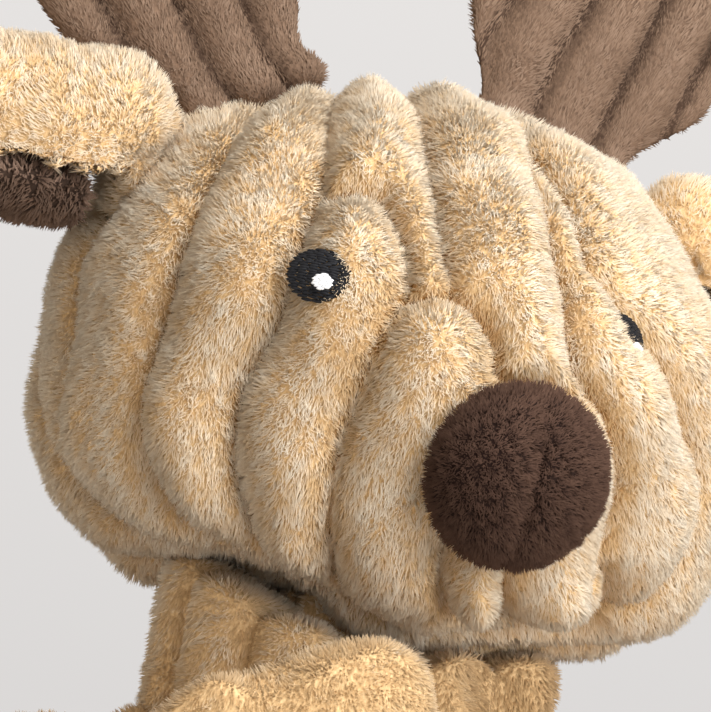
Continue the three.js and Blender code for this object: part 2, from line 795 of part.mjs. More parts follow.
[['right', -rightEyeSpread], ['left', leftEyeSpread]].forEach(([word, spread]) => {
  const centre = headPointAhead(spread, eyeRise);
  const out = new THREE.Vector3(
    centre.x / headHalfWidth ** 2,
    (centre.y - headCentre.y) / headHalfDepth ** 2,
    eyeRise / headHalfHeight ** 2,
  ).normalize();
  const across = new THREE.Vector3(-out.y, out.x, 0).normalize();
  const up = out.clone().cross(across);
  const oval = (grow, sizeAcross, sizeUp, sizeOut, place) => ovalAt(
    place,
    across.clone().multiplyScalar(sizeAcross + grow),
    up.clone().multiplyScalar(sizeUp + grow),
    out.clone().multiplyScalar(sizeOut + grow),
    padSides,
  );
  const eye = oval(0, eyeHalfWidth, eyeHalfHeight, eyeHalfDepth, centre);
  addPiece(`eye_${word}`, eye.subtract(plushFace), 'embroidery');
  const glintPlace = centre.clone()
    .addScaledVector(out, eyeHalfDepth)
    .addScaledVector(across, glintShift)
    .addScaledVector(up, -glintDrop);
  const glint = oval(0, glintRadius, glintRadius, glintHalfDepth, glintPlace);
  addPiece(
    `eye_glint_${word}`,
    glint.subtract(oval(seamClearance, eyeHalfWidth, eyeHalfHeight, eyeHalfDepth, centre)),
    'glint_thread',
  );
});

ears.forEach(({ word, leaf, lining }) => {
  addPiece(`ear_${word}`, leaf, 'tan_plush');
  addPiece(`ear_lining_${word}`, lining, 'lining');
});
antlers.forEach(({ word, solid }) => addPiece(`antler_${word}`, solid, 'brown_plush'));
[...arms, ...legs].forEach(({ name, solid }) => addPiece(name, solid, 'tan_plush'));
addPiece('tail', tail.solid, 'tan_plush');

export default group;
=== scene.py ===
import math

import bmesh
import bpy
import numpy as np
from mathutils import Matrix, Vector
from mathutils.kdtree import KDTree


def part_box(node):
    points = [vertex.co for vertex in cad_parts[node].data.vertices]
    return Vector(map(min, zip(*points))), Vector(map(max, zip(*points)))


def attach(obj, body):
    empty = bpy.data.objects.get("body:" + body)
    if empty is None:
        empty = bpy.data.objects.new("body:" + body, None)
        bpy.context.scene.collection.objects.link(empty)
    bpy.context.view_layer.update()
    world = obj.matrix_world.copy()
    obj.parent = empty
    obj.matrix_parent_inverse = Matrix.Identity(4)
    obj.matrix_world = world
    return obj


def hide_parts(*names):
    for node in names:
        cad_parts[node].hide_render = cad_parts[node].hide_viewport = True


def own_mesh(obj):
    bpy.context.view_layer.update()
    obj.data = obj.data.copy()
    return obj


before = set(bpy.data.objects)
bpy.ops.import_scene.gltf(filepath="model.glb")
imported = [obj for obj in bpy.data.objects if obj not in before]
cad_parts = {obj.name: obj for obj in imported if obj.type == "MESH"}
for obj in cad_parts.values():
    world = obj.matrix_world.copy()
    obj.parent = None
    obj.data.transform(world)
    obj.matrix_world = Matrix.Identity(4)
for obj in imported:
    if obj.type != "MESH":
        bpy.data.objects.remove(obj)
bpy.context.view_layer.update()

# Camera: it looks at the face from the toy's right, level with the head and turned a
# little against the toy, as the photographer held it.
mm = 0.001
photo_width, photo_height = 711, 712
view_azimuth = math.radians(-22.5)
view_roll = math.radians(-10.5)
view_distance = 700 * mm
view_width = 154.6 * mm
head_centre = Vector((0, 14, 177.7)) * mm
view_right = Vector((math.cos(view_azimuth), math.sin(view_azimuth), 0))
view_back = Vector((math.sin(view_azimuth), -math.cos(view_azimuth), 0))
view_target = head_centre - 4.7 * mm * view_right + Vector((0, 0, 1.7 * mm))
camera_right = math.cos(view_roll) * view_right - math.sin(view_roll) * Vector((0, 0, 1))
camera_up = view_back.cross(camera_right)
camera_turn = Matrix((camera_right, camera_up, view_back)).transposed()

camera_data = bpy.data.cameras.new("camera")
camera_data.sensor_width = 36
camera_data.lens = 36 * view_distance / view_width
camera = bpy.data.objects.new("camera", camera_data)
camera.matrix_world = Matrix.Translation(view_target + view_distance * view_back) @ camera_turn.to_4x4()
bpy.context.scene.collection.objects.link(camera)
bpy.context.scene.camera = camera


# Room: a pale floor in a pale, evenly lit room, with one large soft light high in front,
# a weaker one lower in front and a small one from behind that lifts the edges.
def soft_light(name, place, size, power, tint):
    light = bpy.data.lights.new(name, "AREA")
    light.shape = "DISK"
    light.size = size
    light.energy = power
    light.color = tint
    lamp = bpy.data.objects.new(name, light)
    lamp.location = place
    lamp.rotation_euler = (head_centre - Vector(place)).to_track_quat("-Z", "Y").to_euler()
    bpy.context.scene.collection.objects.link(lamp)


soft_light("window_light", (0.05, -0.68, 1.1), 0.6, 12.5, (0.93, 0.99, 1.08))
soft_light("front_light", (0.3, -0.98, 0.4), 0.9, 9.5, (0.95, 0.99, 1.06))
soft_light("edge_light", (0.35, 0.75, 0.6), 0.5, 4.0, (1.0, 0.99, 0.97))

low_wall = (0.71, 0.69, 0.68)
high_wall = (0.8, 0.777, 0.762)
ceiling = (0.68, 0.56, 0.42)
world = bpy.data.worlds.new("pale_room")
world.use_nodes = True
room = world.node_tree
heading = room.nodes.new("ShaderNodeTexCoord")
split = room.nodes.new("ShaderNodeSeparateXYZ")
height = room.nodes.new("ShaderNodeMath")
height.operation = "ABSOLUTE"
walls = room.nodes.new("ShaderNodeMapRange")
walls.inputs["From Min"].default_value = 0.2
walls.inputs["From Max"].default_value = 0.6
shade = room.nodes.new("ShaderNodeMix")
shade.data_type = "RGBA"
wall_rise = room.nodes.new("ShaderNodeMapRange")
wall_rise.inputs["From Min"].default_value = -0.12
wall_rise.inputs["From Max"].default_value = 0.12
wall_tint = room.nodes.new("ShaderNodeMix")
wall_tint.data_type = "RGBA"
wall_tint.inputs[6].default_value = (*low_wall, 1)
wall_tint.inputs[7].default_value = (*high_wall, 1)
shade.inputs[7].default_value = (*ceiling, 1)
room.links.new(heading.outputs["Generated"], split.inputs[0])
room.links.new(split.outputs["Z"], wall_rise.inputs["Value"])
room.links.new(wall_rise.outputs[0], wall_tint.inputs[0])
room.links.new(wall_tint.outputs[2], shade.inputs[6])
room.links.new(split.outputs["Z"], height.inputs[0])
room.links.new(height.outputs[0], walls.inputs["Value"])
room.links.new(walls.outputs[0], shade.inputs[0])
room.links.new(shade.outputs[2], room.nodes["Background"].inputs["Color"])
bpy.context.scene.world = world
bpy.context.scene.view_settings.view_transform = "Standard"

bpy.ops.object.select_all(action="DESELECT")
floor_radius, floor_drop = 0.42, 0.0008
bpy.ops.mesh.primitive_circle_add(
    vertices=96, radius=floor_radius, fill_type="NGON", location=(0, 0, -floor_drop)
)
floor = bpy.context.active_object
floor.name = "floor"
floor_paint = bpy.data.materials.new("floor_paint")
floor_paint.use_nodes = True
floor_paint.node_tree.nodes["Principled BSDF"].inputs["Base Color"].default_value = (0.56, 0.55, 0.54, 1)
floor_paint.node_tree.nodes["Principled BSDF"].inputs["Roughness"].default_value = 0.8
floor.data.materials.append(floor_paint)


# Head: a ball of tan plush sewn with wide ribs that run from the chin over the crown to
# the nape. The pile is long on the crest of a rib and the cloth is drawn in between two
# ribs. The muzzle is pushed forward from inside, with two small cheeks under the nose.
class Finish:
    """A material of this toy, to which nodes are added one by one."""

    def __init__(self, name, roughness, sheen=0.0, sheen_tint=(1, 1, 1)):
        self.material = bpy.data.materials.new(name)
        self.material.use_nodes = True
        self.tree = self.material.node_tree
        self.shader = self.tree.nodes["Principled BSDF"]
        self.shader.inputs["Roughness"].default_value = roughness
        self.shader.inputs["Sheen Weight"].default_value = sheen
        self.shader.inputs["Sheen Roughness"].default_value = 0.6
        self.shader.inputs["Sheen Tint"].default_value = (*sheen_tint, 1)
        self.shader.inputs["Specular IOR Level"].default_value = 0.15

    def feed(self, socket, value):
        if isinstance(value, Strand):
            self.tree.links.new(value.socket, socket)
        else:
            socket.default_value = value

    def add(self, kind, settings, values, out=0):
        node = self.tree.nodes.new(kind)
        for name, value in settings.items():
            if name == "stops":
                while len(node.color_ramp.elements) < len(value):
                    node.color_ramp.elements.new(1)
                for element, (place, colour) in zip(node.color_ramp.elements, value):
                    element.position = place
                    element.color = (*colour, 1)
            else:
                setattr(node, name, value)
        for name, value in values.items():
            self.feed(node.inputs[name], value)
        return Strand(self, node.outputs[out])

    def mix(self, factor, low, high):
        values = {0: factor}
        for place, colour in ((6, low), (7, high)):
            values[place] = colour if isinstance(colour, Strand) else (*colour, 1)
        return self.add("ShaderNodeMix", {"data_type": "RGBA", "clamp_factor": True}, values, 2)

    def ramp(self, value, low, high):
        settings = {"clamp": True}
        values = {"Value": value, "From Min": low, "From Max": high}
        return self.add("ShaderNodeMapRange", settings, values)

    def place(self):
        return self.add("ShaderNodeTexCoord", {}, {}, "Object")

    def mottle(self, size, detail=3.0, vector=None):
        values = {"Vector": vector or self.place(), "Scale": 1 / size, "Detail": detail}
        return self.add("ShaderNodeTexNoise", {}, values, "Fac")

    def attribute(self, name):
        return self.add("ShaderNodeAttribute", {"attribute_name": name}, {}, "Fac")

    def emboss(self, height, distance, strength):
        values = {"Height": height, "Distance": distance, "Strength": strength}
        self.feed(self.shader.inputs["Normal"], self.add("ShaderNodeBump", {}, values, "Normal"))


class Strand:
    """One value inside a material; sums on it add Math nodes."""

    def __init__(self, finish, socket):
        self.finish = finish
        self.socket = socket

    def sum(self, operation, first, second):
        return self.finish.add("ShaderNodeMath", {"operation": operation}, {0: first, 1: second})

    def __add__(self, other):
        return self.sum("ADD", self, other)

    def __radd__(self, other):
        return self.sum("ADD", other, self)

    def __sub__(self, other):
        return self.sum("SUBTRACT", self, other)

    def __rsub__(self, other):
        return self.sum("SUBTRACT", other, self)

    def __mul__(self, other):
        return self.sum("MULTIPLY", self, other)

    def __rmul__(self, other):
        return self.sum("MULTIPLY", other, self)


def pile_finish(name, root, middle, tip, patch_size):
    """Plush seen strand by strand: darker at the cloth, paler at the tips, with cloudy patches."""
    finish = Finish(name, 0.9, 0.25, tip)
    depth = finish.attribute("pile_depth")
    tint = finish.attribute("pile_tint")
    cloud = finish.mottle(patch_size) - 0.5
    # The tint carries the painted shade near grooves and the painted highlight on rib crests that
    # grow_pile puts into it.
    reach = depth * 0.26 + cloud * 0.28 + (tint - 0.5) * 0.9 + 0.52
    low = finish.mix(finish.ramp(reach, 0.0, 0.5), root, middle)
    colour = finish.mix(finish.ramp(reach, 0.45, 1.05), low, tip)
    finish.feed(finish.shader.inputs["Base Color"], colour)
    return finish.material


def cloth_finish(name, colour, shade, grain):
    """The ground between the strands, streaked by the strands that lie flat on it, with painted shade that
    is darker the deeper a point lies in a crease.
    """
    finish = Finish(name, 0.95)
    values = {"Vector": finish.place(), "Scale": (1, 1, 0.5)}
    squeeze = finish.add("ShaderNodeMapping", {}, values, "Vector")
    streak = finish.mottle(grain, 2.0, squeeze)
    mask = finish.ramp(streak, 0.3, 0.7) * 0.6 + 0.4 - finish.attribute("crease") * 0.9
    finish.feed(finish.shader.inputs["Base Color"], finish.mix(mask, shade, colour))
    finish.emboss(streak, 0.5 * mm, 0.5)
    return finish.material


def wave_field(seed, shortest, longest, count=14):
    """A soft random height over space, with its slope, from a few plane waves."""
    rng = np.random.default_rng(seed)
    heading = rng.normal(size=(count, 3))
    heading /= np.linalg.norm(heading, axis=1, keepdims=True)
    waves = heading * (2 * math.pi / rng.uniform(shortest, longest, count))[:, None]
    phase = rng.uniform(0, 2 * math.pi, count)

    def field(places):
        angle = places @ waves.T + phase
        height = np.cos(angle).sum(axis=1) / math.sqrt(count / 2)
        slope = -(np.sin(angle) @ waves) / math.sqrt(count / 2)
        return height, slope

    return field


def ground_corners(ground):
    mesh = ground.data
    mesh.calc_loop_triangles()
    corners = np.empty(len(mesh.loop_triangles) * 3, dtype=np.int32)
    mesh.loop_triangles.foreach_get("vertices", corners)
    places = np.empty(len(mesh.vertices) * 3)
    mesh.vertices.foreach_get("co", places)
    normals = np.empty(len(mesh.vertices) * 3)
    mesh.vertices.foreach_get("normal", normals)
    return corners.reshape(-1, 3), places.reshape(-1, 3), normals.reshape(-1, 3)


def place_points(piece, places):
    piece.data.vertices.foreach_set("co", places.reshape(-1))
    piece.data.update()


def unit(vectors):
    return vectors / np.maximum(np.linalg.norm(vectors, axis=1, keepdims=True), 1e-9)


def tuft_mesh(name, roots, directions, lengths, widths, normals, tints):
    """Pointed three-sided tufts, each closed, with its own cell of the bake's map."""
    count = len(roots)
    side = unit(np.cross(directions, [0.31, 0.52, 0.79]))
    third = np.cross(directions, side)
    spin = np.arange(count) * 2.4
    points = np.empty((count, 4, 3))
    soft = np.empty((count, 4, 3))
    for k in range(3):
        turn = spin + k * 2 * math.pi / 3
        out = side * np.cos(turn)[:, None] + third * np.sin(turn)[:, None]
        points[:, k] = roots + (out * 0.5 - directions * 0.6) * widths[:, None]
        soft[:, k] = normals + out * 0.2
    points[:, 3] = roots + directions * lengths[:, None]
    soft[:, 3] = normals + directions * 0.1
    one_tuft = np.array([(0, 1, 3), (1, 2, 3), (2, 0, 3), (0, 2, 1)])
    faces = np.arange(count)[:, None, None] * 4 + one_tuft[None]
    mesh = bpy.data.meshes.new(name)
    mesh.vertices.add(count * 4)
    mesh.vertices.foreach_set("co", points.reshape(-1))
    mesh.loops.add(faces.size)
    mesh.loops.foreach_set("vertex_index", faces.reshape(-1).astype(np.int32))
    mesh.polygons.add(count * 4)
    mesh.polygons.foreach_set("loop_start", (np.arange(count * 4) * 3).astype(np.int32))
    mesh.update(calc_edges=True)
    columns = math.ceil(math.sqrt(count))
    cell = np.stack([np.arange(count) % columns, np.arange(count) // columns], axis=1) / columns
    unwrapped = [
        (0, 0), (0.3, 0), (0.15, 0.9), (0.3, 0), (0.6, 0), (0.45, 0.9),
        (0.6, 0), (0.9, 0), (0.75, 0.9), (0.2, 0.95), (0.3, 0.95), (0.25, 0.99),
    ]
    spread = cell[:, None, :] + np.array(unwrapped)[None] * 0.94 / columns
    mesh.uv_layers.new(name="OFBake").uv.foreach_set("vector", spread.reshape(-1))
    depth = mesh.attributes.new("pile_depth", "FLOAT", "POINT")
    depth.data.foreach_set("value", np.tile([0.0, 0, 0, 1], count))
    tint = mesh.attributes.new("pile_tint", "FLOAT", "POINT")
    tint.data.foreach_set("value", np.repeat(tints, 4))
    mesh.normals_split_custom_set_from_vertices(unit(soft.reshape(-1, 3)))
    return mesh


most_tufts = 49900
fewest_share = 0.14


def grow_pile(
    ground, name, per_mm2, length, width, seed, finish,
    comb=None, cover=None, clump=4.0, gap=None, thin=None, painted_shade=0.0,
):
    """Covers a ground with tufts that lean with the comb and gather in small locks."""
    corners, places, normals = ground_corners(ground)
    a, b, c = (places[corners[:, k]] for k in range(3))
    area = np.linalg.norm(np.cross(b - a, c - a), axis=1) / 2
    rng = np.random.default_rng(seed)
    count = int(area.sum() * 1e6 * per_mm2)
    pick = rng.choice(len(area), count, p=area / area.sum())
    u, v = rng.random((2, count))
    flip = u + v > 1
    u[flip], v[flip] = 1 - u[flip], 1 - v[flip]
    spot = a[pick] + u[:, None] * (b - a)[pick] + v[:, None] * (c - a)[pick]
    w = 1 - u - v
    na, nb, nc = (normals[corners[pick, k]] for k in range(3))
    normal = unit(w[:, None] * na + u[:, None] * nb + v[:, None] * nc)
    share = np.ones(count) if cover is None else cover(spot, normal)
    facing = np.clip(0.75 + 1.2 * normal @ np.array(view_back), 0.4, 1)
    keep = np.clip(facing * (1 if thin is None else thin(spot)), fewest_share, 1)
    kept = (share > 0.05) & (rng.random(count) < keep)
    spot, normal, share, keep = spot[kept], normal[kept], share[kept], keep[kept]
    reach = np.full(len(spot), 12 * mm) if gap is None else gap(spot)
    shelter = np.clip(reach / (5 * mm), 0, 1)
    seam = np.clip(reach / (1.5 * mm), 0, 1)
    crest = np.clip((reach - 4 * mm) / (5 * mm), 0, 1)
    height, slope = wave_field(seed + 1, clump * 0.8 * mm, clump * 2.2 * mm)(spot)
    lock = slope * (clump * mm * 0.055)
    loose, _ = wave_field(seed + 2, 9 * mm, 30 * mm)(spot)
    laid = (np.clip(1.0 - 0.45 * loose, 0.25, 1.5) * (1 - 0.35 * crest))[:, None]
    sway = np.zeros_like(spot) if comb is None else comb(spot, normal)
    push = sway * laid + lock + rng.normal(scale=0.2, size=spot.shape)
    push -= normal * np.sum(push * normal, axis=1, keepdims=True)
    lengths = length * share * (0.3 + 0.25 * seam + 0.45 * shelter)
    lengths *= 0.8 + 0.1 * np.clip(height, -1.5, 1.5) + 0.2 * rng.random(len(spot))
    sparse = np.sqrt(np.maximum(keep, 0.3))
    widths = width * (0.75 + 0.5 * rng.random(len(spot))) / sparse
    lengths = lengths / np.sqrt(sparse)
    # Painted shade: a negative tone makes a part's tufts darker than the same plush elsewhere.
    own_painted_shade = painted_shade(spot) if callable(painted_shade) else painted_shade
    # Painted light in the tuft's tint: painted shade makes it darker near a groove or seam (shelter,
    # seam), and painted highlight makes it paler on a rib's crest (crest).
    tints = 0.46 + own_painted_shade + 0.06 * height + 0.1 * crest + rng.normal(scale=0.06, size=len(spot))
    tints = np.clip(tints - 0.2 * (1 - shelter) - 0.3 * (1 - seam), 0, 1)
    order = np.argsort(np.arctan2(spot[:, 0], -spot[:, 1]))
    pieces = []
    parts = max(1, math.ceil(len(order) / most_tufts))
    for k, chosen in enumerate(np.array_split(order, parts)):
        tag = name if parts == 1 else f"{name}_{k + 1}"
        mesh = tuft_mesh(
            tag, spot[chosen], unit(normal + push)[chosen], lengths[chosen],
            widths[chosen], normal[chosen], tints[chosen],
        )
        piece = bpy.data.objects.new(tag, mesh)
        bpy.context.scene.collection.objects.link(piece)
        mesh.materials.append(finish)
        pieces.append(piece)
    return pieces


def select_alone(piece):
    bpy.ops.object.select_all(action="DESELECT")
    bpy.context.view_layer.objects.active = piece
    piece.select_set(True)


def edit_where(piece, chosen, kind="VERT"):
    """Enters edit mode with the parts selected for which chosen is true."""
    if bpy.context.mode == "OBJECT":
        select_alone(piece)
        bpy.ops.object.mode_set(mode="EDIT")
    bpy.context.tool_settings.mesh_select_mode = (kind == "VERT", kind == "EDGE", kind == "FACE")
    bpy.ops.mesh.select_all(action="DESELECT")
    cage = bmesh.from_edit_mesh(piece.data)
    for part in {"VERT": cage.verts, "EDGE": cage.edges, "FACE": cage.faces}[kind]:
        part.select_set(bool(chosen(part)))
    cage.select_flush_mode()
    bmesh.update_edit_mesh(piece.data)


def finish_edit():
    bpy.ops.object.mode_set(mode="OBJECT")


def apply_modifiers(piece):
    select_alone(piece)
    for modifier in list(piece.modifiers):
        bpy.ops.object.modifier_apply(modifier=modifier.name)


def settle(piece):
    """Puts the piece's place into its mesh."""
    select_alone(piece)
    bpy.ops.object.transform_apply(location=True, rotation=True, scale=True)


def smooth_pad(piece, levels):
    piece.modifiers.new("rounding", "SUBSURF").levels = levels
    piece.modifiers["rounding"].render_levels = levels
    apply_modifiers(piece)
    bpy.ops.object.shade_smooth()


def dress(pieces, body, nodes):
    for piece in pieces:
        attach(piece, body)
        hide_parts(*nodes)


tan_root = (0.34, 0.18, 0.062)
tan_middle = (0.72, 0.475, 0.235)
tan_tip = (0.98, 0.885, 0.72)
tan_pile = pile_finish("tan_pile", tan_root, tan_middle, tan_tip, 14 * mm)
tan_cloth = cloth_finish("tan_cloth", (0.78, 0.54, 0.28), (0.3, 0.155, 0.05), 0.8 * mm)

pile_length = 2.5 * mm
head_inset = 2.4
head_half = Vector((75, 75, 64)) * mm - Vector((1, 1, 1)) * head_inset * mm
cheek_fullness = 2.6
rib_tilt = math.radians(33)
rib_groove = 10 * mm
rib_half = 12 * mm
nose_seat = Vector((0, -60.3, 162.7)) * mm
nose_out = Vector((0, -0.993, -0.116)).normalized()

# Where the grooves run on the side that the camera sees, in pixels of the photograph
groove_sights = [
    [(105, 215), (77, 258), (66, 310), (60, 370), (57, 420), (62, 470)],
    [(253, 105), (204, 183), (166, 273), (145, 347), (131, 420), (140, 480), (176, 547)],
    [
        (326, 96), (326, 149), (317, 194), (299, 228), (279, 307),
        (257, 346), (233, 377), (222, 458), (233, 518), (253, 569),
    ],
    [
        (380, 186), (406, 234), (411, 270), (398, 303), (374, 341),
        (344, 419), (330, 460), (321, 538), (330, 605),
    ],
    [(405, 80), (423, 109), (435, 159), (443, 208), (452, 297)],
    [(519, 117), (547, 199), (565, 268), (574, 362), (600, 405), (622, 470), (610, 545), (570, 600)],
    [(594, 258), (632, 316), (656, 354), (676, 424), (681, 464), (661, 536), (625, 590)],
]
# Whether each runs on to the nape, and to the chin
groove_ends = [
    (True, True), (True, True), (True, True), (False, True), (True, False), (True, True), (True, True),
]
muzzle_sights = [
    [(403, 300), (425, 293), (452, 292), (478, 308), (496, 340), (494, 372)],
    [(494, 372), (520, 384), (555, 386), (590, 399)],
    [(330, 186), (352, 182), (380, 186)],
    [(503, 572), (499, 600), (497, 618), (470, 628), (440, 612), (436, 585), (441, 560)],
    [(497, 618), (530, 640), (575, 630), (601, 600), (603, 570)],
]
# The other grooves: how far round the head, and how far down, in degrees
far_grooves = [(53, 92), (73, 108), *((turn, 170) for turn in range(92, 253, 20))]


def head_reach(heading):
    """How far the smooth head reaches from its middle; its lower half is fuller."""
    level = math.hypot(heading.x / head_half.x, heading.y / head_half.y)
    upright = abs(heading.z) / head_half.z
    fullness = cheek_fullness if heading.z < 0 else 2
    return (level ** fullness + upright ** fullness) ** (-1 / fullness)


def seen_at(sight):
    """The place on the smooth head, from its middle, under a pixel of the photograph."""
    right = (sight[0] - photo_width / 2) / photo_width * view_width
    rise = (photo_height / 2 - sight[1]) / photo_width * view_width
    start = view_target + view_distance * view_back - head_centre
    ray = (camera_right * right + camera_up * rise - view_back * view_distance).normalized()
    far = -start.dot(ray)
    near = far - 2 * head_half.x
    for _ in range(30):
        middle = (near + far) / 2
        place = start + ray * middle
        if place.length < head_reach(place.normalized()):
            far = middle
        else:
            near = middle
    return place.normalized() * head_reach(place.normalized())


def along_head(points, pitch=0.6 * mm):
    """Points close together along a way over the head."""
    way = []
    for start, end in zip(points[:-1], points[1:]):
        steps = max(2, int((end - start).length / pitch))
        for k in range(steps):
            heading = start.normalized().slerp(end.normalized(), k / steps)
            way.append(head_centre + heading * head_reach(heading))
    return way


def smooth_way(points, rounds=2):
    for _ in range(rounds):
        inner = []
        for start, end in zip(points[:-1], points[1:]):
            inner += [start.lerp(end, 0.25), start.lerp(end, 0.75)]
        points = [points[0], *inner, points[-1]]
    return points


nape = Vector((0, math.sin(rib_tilt), math.cos(rib_tilt))) * head_half.z
chin = -nape
groove_ways = []
for sights, (to_nape, to_chin) in zip(groove_sights, groove_ends):
    points = smooth_way([seen_at(sight) for sight in sights])
    if to_nape:
        points = [nape.lerp(points[0], 0.25), *points]
    if to_chin:
        points = [*points, chin.lerp(points[-1], 0.3)]
    groove_ways.append(along_head(points))
for sights in muzzle_sights:
    groove_ways.append(along_head(smooth_way([seen_at(sight) for sight in sights])))
tilt_turn = Matrix.Rotation(-rib_tilt, 3, "X")
for turn, lowest in far_grooves:
    points = []
    for level in range(12, lowest, 8):
        polar = math.radians(level)
        way = math.radians(turn)
        wide = math.sin(polar)
        points.append(tilt_turn @ Vector((wide * math.sin(way), -wide * math.cos(way), math.cos(polar))))
    groove_ways.append(along_head(points))

groove_places = [place for way in groove_ways for place in way]
groove_tree = KDTree(len(groove_places))
for k, place in enumerate(groove_places):
    groove_tree.insert(place, k)
groove_tree.balance()


def groove_gap(places):
    """How far each place is from the nearest groove of the head."""
    return np.array([groove_tree.find(place)[2] for place in places])


bpy.ops.object.select_all(action="DESELECT")
bpy.ops.mesh.primitive_uv_sphere_add(segments=84, ring_count=46, radius=1)
head = bpy.context.active_object
head.name = "head_plush"
smooth_pad(head, 2)

_, places, _ = ground_corners(head)
headings = [Vector(place).normalized() for place in places]
places = np.array([heading * head_reach(heading) for heading in headings])
place_points(head, places + np.array(head_centre))
_, places, normals = ground_corners(head)
gap = np.clip(groove_gap(places) / rib_half, 0, 1)
rounding = np.sqrt(np.clip(1 - (1 - gap) ** 1.9, 0, 1))
unevenness, _ = wave_field(7, 16 * mm, 40 * mm)(places)
places = places + normals * (unevenness * 0.7 * mm - rib_groove * (1 - rounding))[:, None]
place_points(head, places)
head.modifiers.new("relax", "SMOOTH").iterations = 1
apply_modifiers(head)
# How deep each point lies in a groove, for the painted shade of the head's cloth.
crease_shade_depth = 1 - np.clip(gap * rib_half / (3 * mm), 0, 1)


def mark_crease_shade(piece, depths):
    """Keeps how deep in a crease each point lies, for the painted shade that the piece's finish puts in
    its creases.
    """
    crease = piece.data.attributes.new("crease", "FLOAT", "POINT")
    crease.data.foreach_set("value", np.clip(depths, 0, 1))


def push_out(piece, centre, direction, spread, rise):
    """Presses the plush out, or in with a negative rise, round one place."""
    _, places, _ = ground_corners(piece)
    reach = np.linalg.norm(places - np.array(centre), axis=1) / spread
    places += np.array(direction) * (rise * np.exp(-(reach ** 2)))[:, None]
    place_points(piece, places)


push_out(head, nose_seat, nose_out, 30 * mm, 7 * mm)
for sight in ((462, 600), (556, 604)):
    puff = seen_at(sight)
    push_out(head, head_centre + puff + 3 * mm * nose_out, puff.normalized(), 8 * mm, 8 * mm)
# Where the face swells or sinks: a pixel of the photograph, how wide and how far in mm
face_swells = [
    ((665, 600), 28, 8), ((700, 400), 30, 4), ((540, 625), 20, -3),
    ((440, 335), 13, 3), ((355, 230), 11, 2), ((700, 520), 30, 3),
]
for sight, spread, rise in face_swells:
    bulge = seen_at(sight)
    push_out(head, head_centre + bulge, bulge.normalized(), spread * mm, rise * mm)
push_out(head, head_centre + seen_at((225, 620)), Vector((0, 0, 1)), 27 * mm, 13 * mm)
mark_crease_shade(head, crease_shade_depth)
head.data.materials.append(tan_cloth)


def head_comb(spot, normal):
    """The pile lies down the head, and a little away from the middle of the face."""
    down = -np.array([0, math.sin(rib_tilt), math.cos(rib_tilt)])
    sway = down - normal * (normal @ down)[:, None]
    sway[:, 0] += np.sign(spot[:, 0]) * 0.2
    return unit(sway) * 0.6


def head_thin(spot):
    """Fewer and broader tufts round the back of the head."""
    toward = (spot - np.array(head_centre)) @ np.array(view_back)
    return np.clip(0.6 + toward / (30 * mm), fewest_share, 1)


nose_middle = nose_seat + 5.2 * mm * nose_out
eye_bare = {"right": 3.5 * mm, "left": 1.0 * mm}


def head_cover(spot, normal):
    """No pile under the nose or the eyes, and shorter pile round the eyes."""
    share = np.ones(len(spot))
    share[np.linalg.norm(spot - np.array(nose_middle), axis=1) < 16 * mm] = 0
    for word in ("right", "left"):
        low, high = (np.array(corner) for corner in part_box(f"eye_{word}"))
        eye_middle = (low + high) / 2
        if word == "right":
            eye_middle = eye_middle - 1.0 * mm * np.array(camera_right) + 0.7 * mm * np.array(camera_up)
        reach = np.linalg.norm(spot - eye_middle, axis=1)
        share *= np.clip((reach - eye_bare[word]) / (4 * mm), 0, 1)
    return share


head_pile = grow_pile(
    head, "head_pile", 5.3, pile_length, 0.35 * mm, 11, tan_pile, head_comb, head_cover,
    clump=2.8, gap=groove_gap, thin=head_thin,
)
dress([head], "head", ("head_cover", "muzzle_cover", "head_stuffing"))
dress(head_pile, "head", ("head_cover",))


# Nose: a round pad of short, dense pile over a little stuffing, sewn to the front of
# the muzzle and drawn in along its middle by one upright seam.
nose_pile_finish = pile_finish(
    "nose_pile", (0.012, 0.006, 0.004), (0.045, 0.022, 0.014), (0.13, 0.07, 0.045), 7 * mm
)
nose_cloth = cloth_finish("nose_cloth", (0.03, 0.016, 0.011), (0.018, 0.009, 0.007), 1.5 * mm)
bpy.ops.object.select_all(action="DESELECT")
bpy.ops.mesh.primitive_uv_sphere_add(segments=48, ring_count=24, radius=1)
nose = bpy.context.active_object
nose.name = "nose_pad"
edit_where(nose, lambda v: abs(v.co.x) < 0.07 and v.co.z > 0)
bpy.ops.transform.translate(value=(0, 0, -0.16))
edit_where(nose, lambda v: 0.07 < abs(v.co.x) < 0.2 and v.co.z > 0)
bpy.ops.transform.translate(value=(0, 0, -0.05))
finish_edit()
nose.scale = Vector((18.4, 17.8, 9.5)) * mm
nose.rotation_euler = nose_out.to_track_quat("Z", "Y").to_euler()
nose.location = nose_middle
settle(nose)
smooth_pad(nose, 1)
nose.data.materials.append(nose_cloth)


def nose_front(spot, normal):
    return np.where(normal @ np.array(nose_out) > -0.25, 1.0, 0.0)


nose_pile = grow_pile(
    nose, "nose_pile", 10, 1.8 * mm, 0.4 * mm, 21, nose_pile_finish, cover=nose_front, clump=1.6,
)
dress([nose], "head", ("nose",))
dress(nose_pile, "head", ("nose",))


# Eyes: ovals of black thread worked in short satin stitches straight on the plush, with
# a small white glint worked over them. The plush is drawn in under the stitches.
def thread_finish(name, colour, shade, roughness):
    finish = Finish(name, roughness, 0.3, colour)
    mask = finish.ramp(finish.mottle(0.6 * mm), 0.3, 0.7)
    finish.feed(finish.shader.inputs["Base Color"], finish.mix(mask, shade, colour))
    finish.emboss(finish.mottle(0.15 * mm), 0.08 * mm, 0.5)
    return finish.material


black_thread = thread_finish("black_thread", (0.018, 0.018, 0.02), (0.006, 0.006, 0.007), 0.55)
white_thread = thread_finish("white_thread", (0.86, 0.86, 0.84), (0.6, 0.6, 0.6), 0.5)


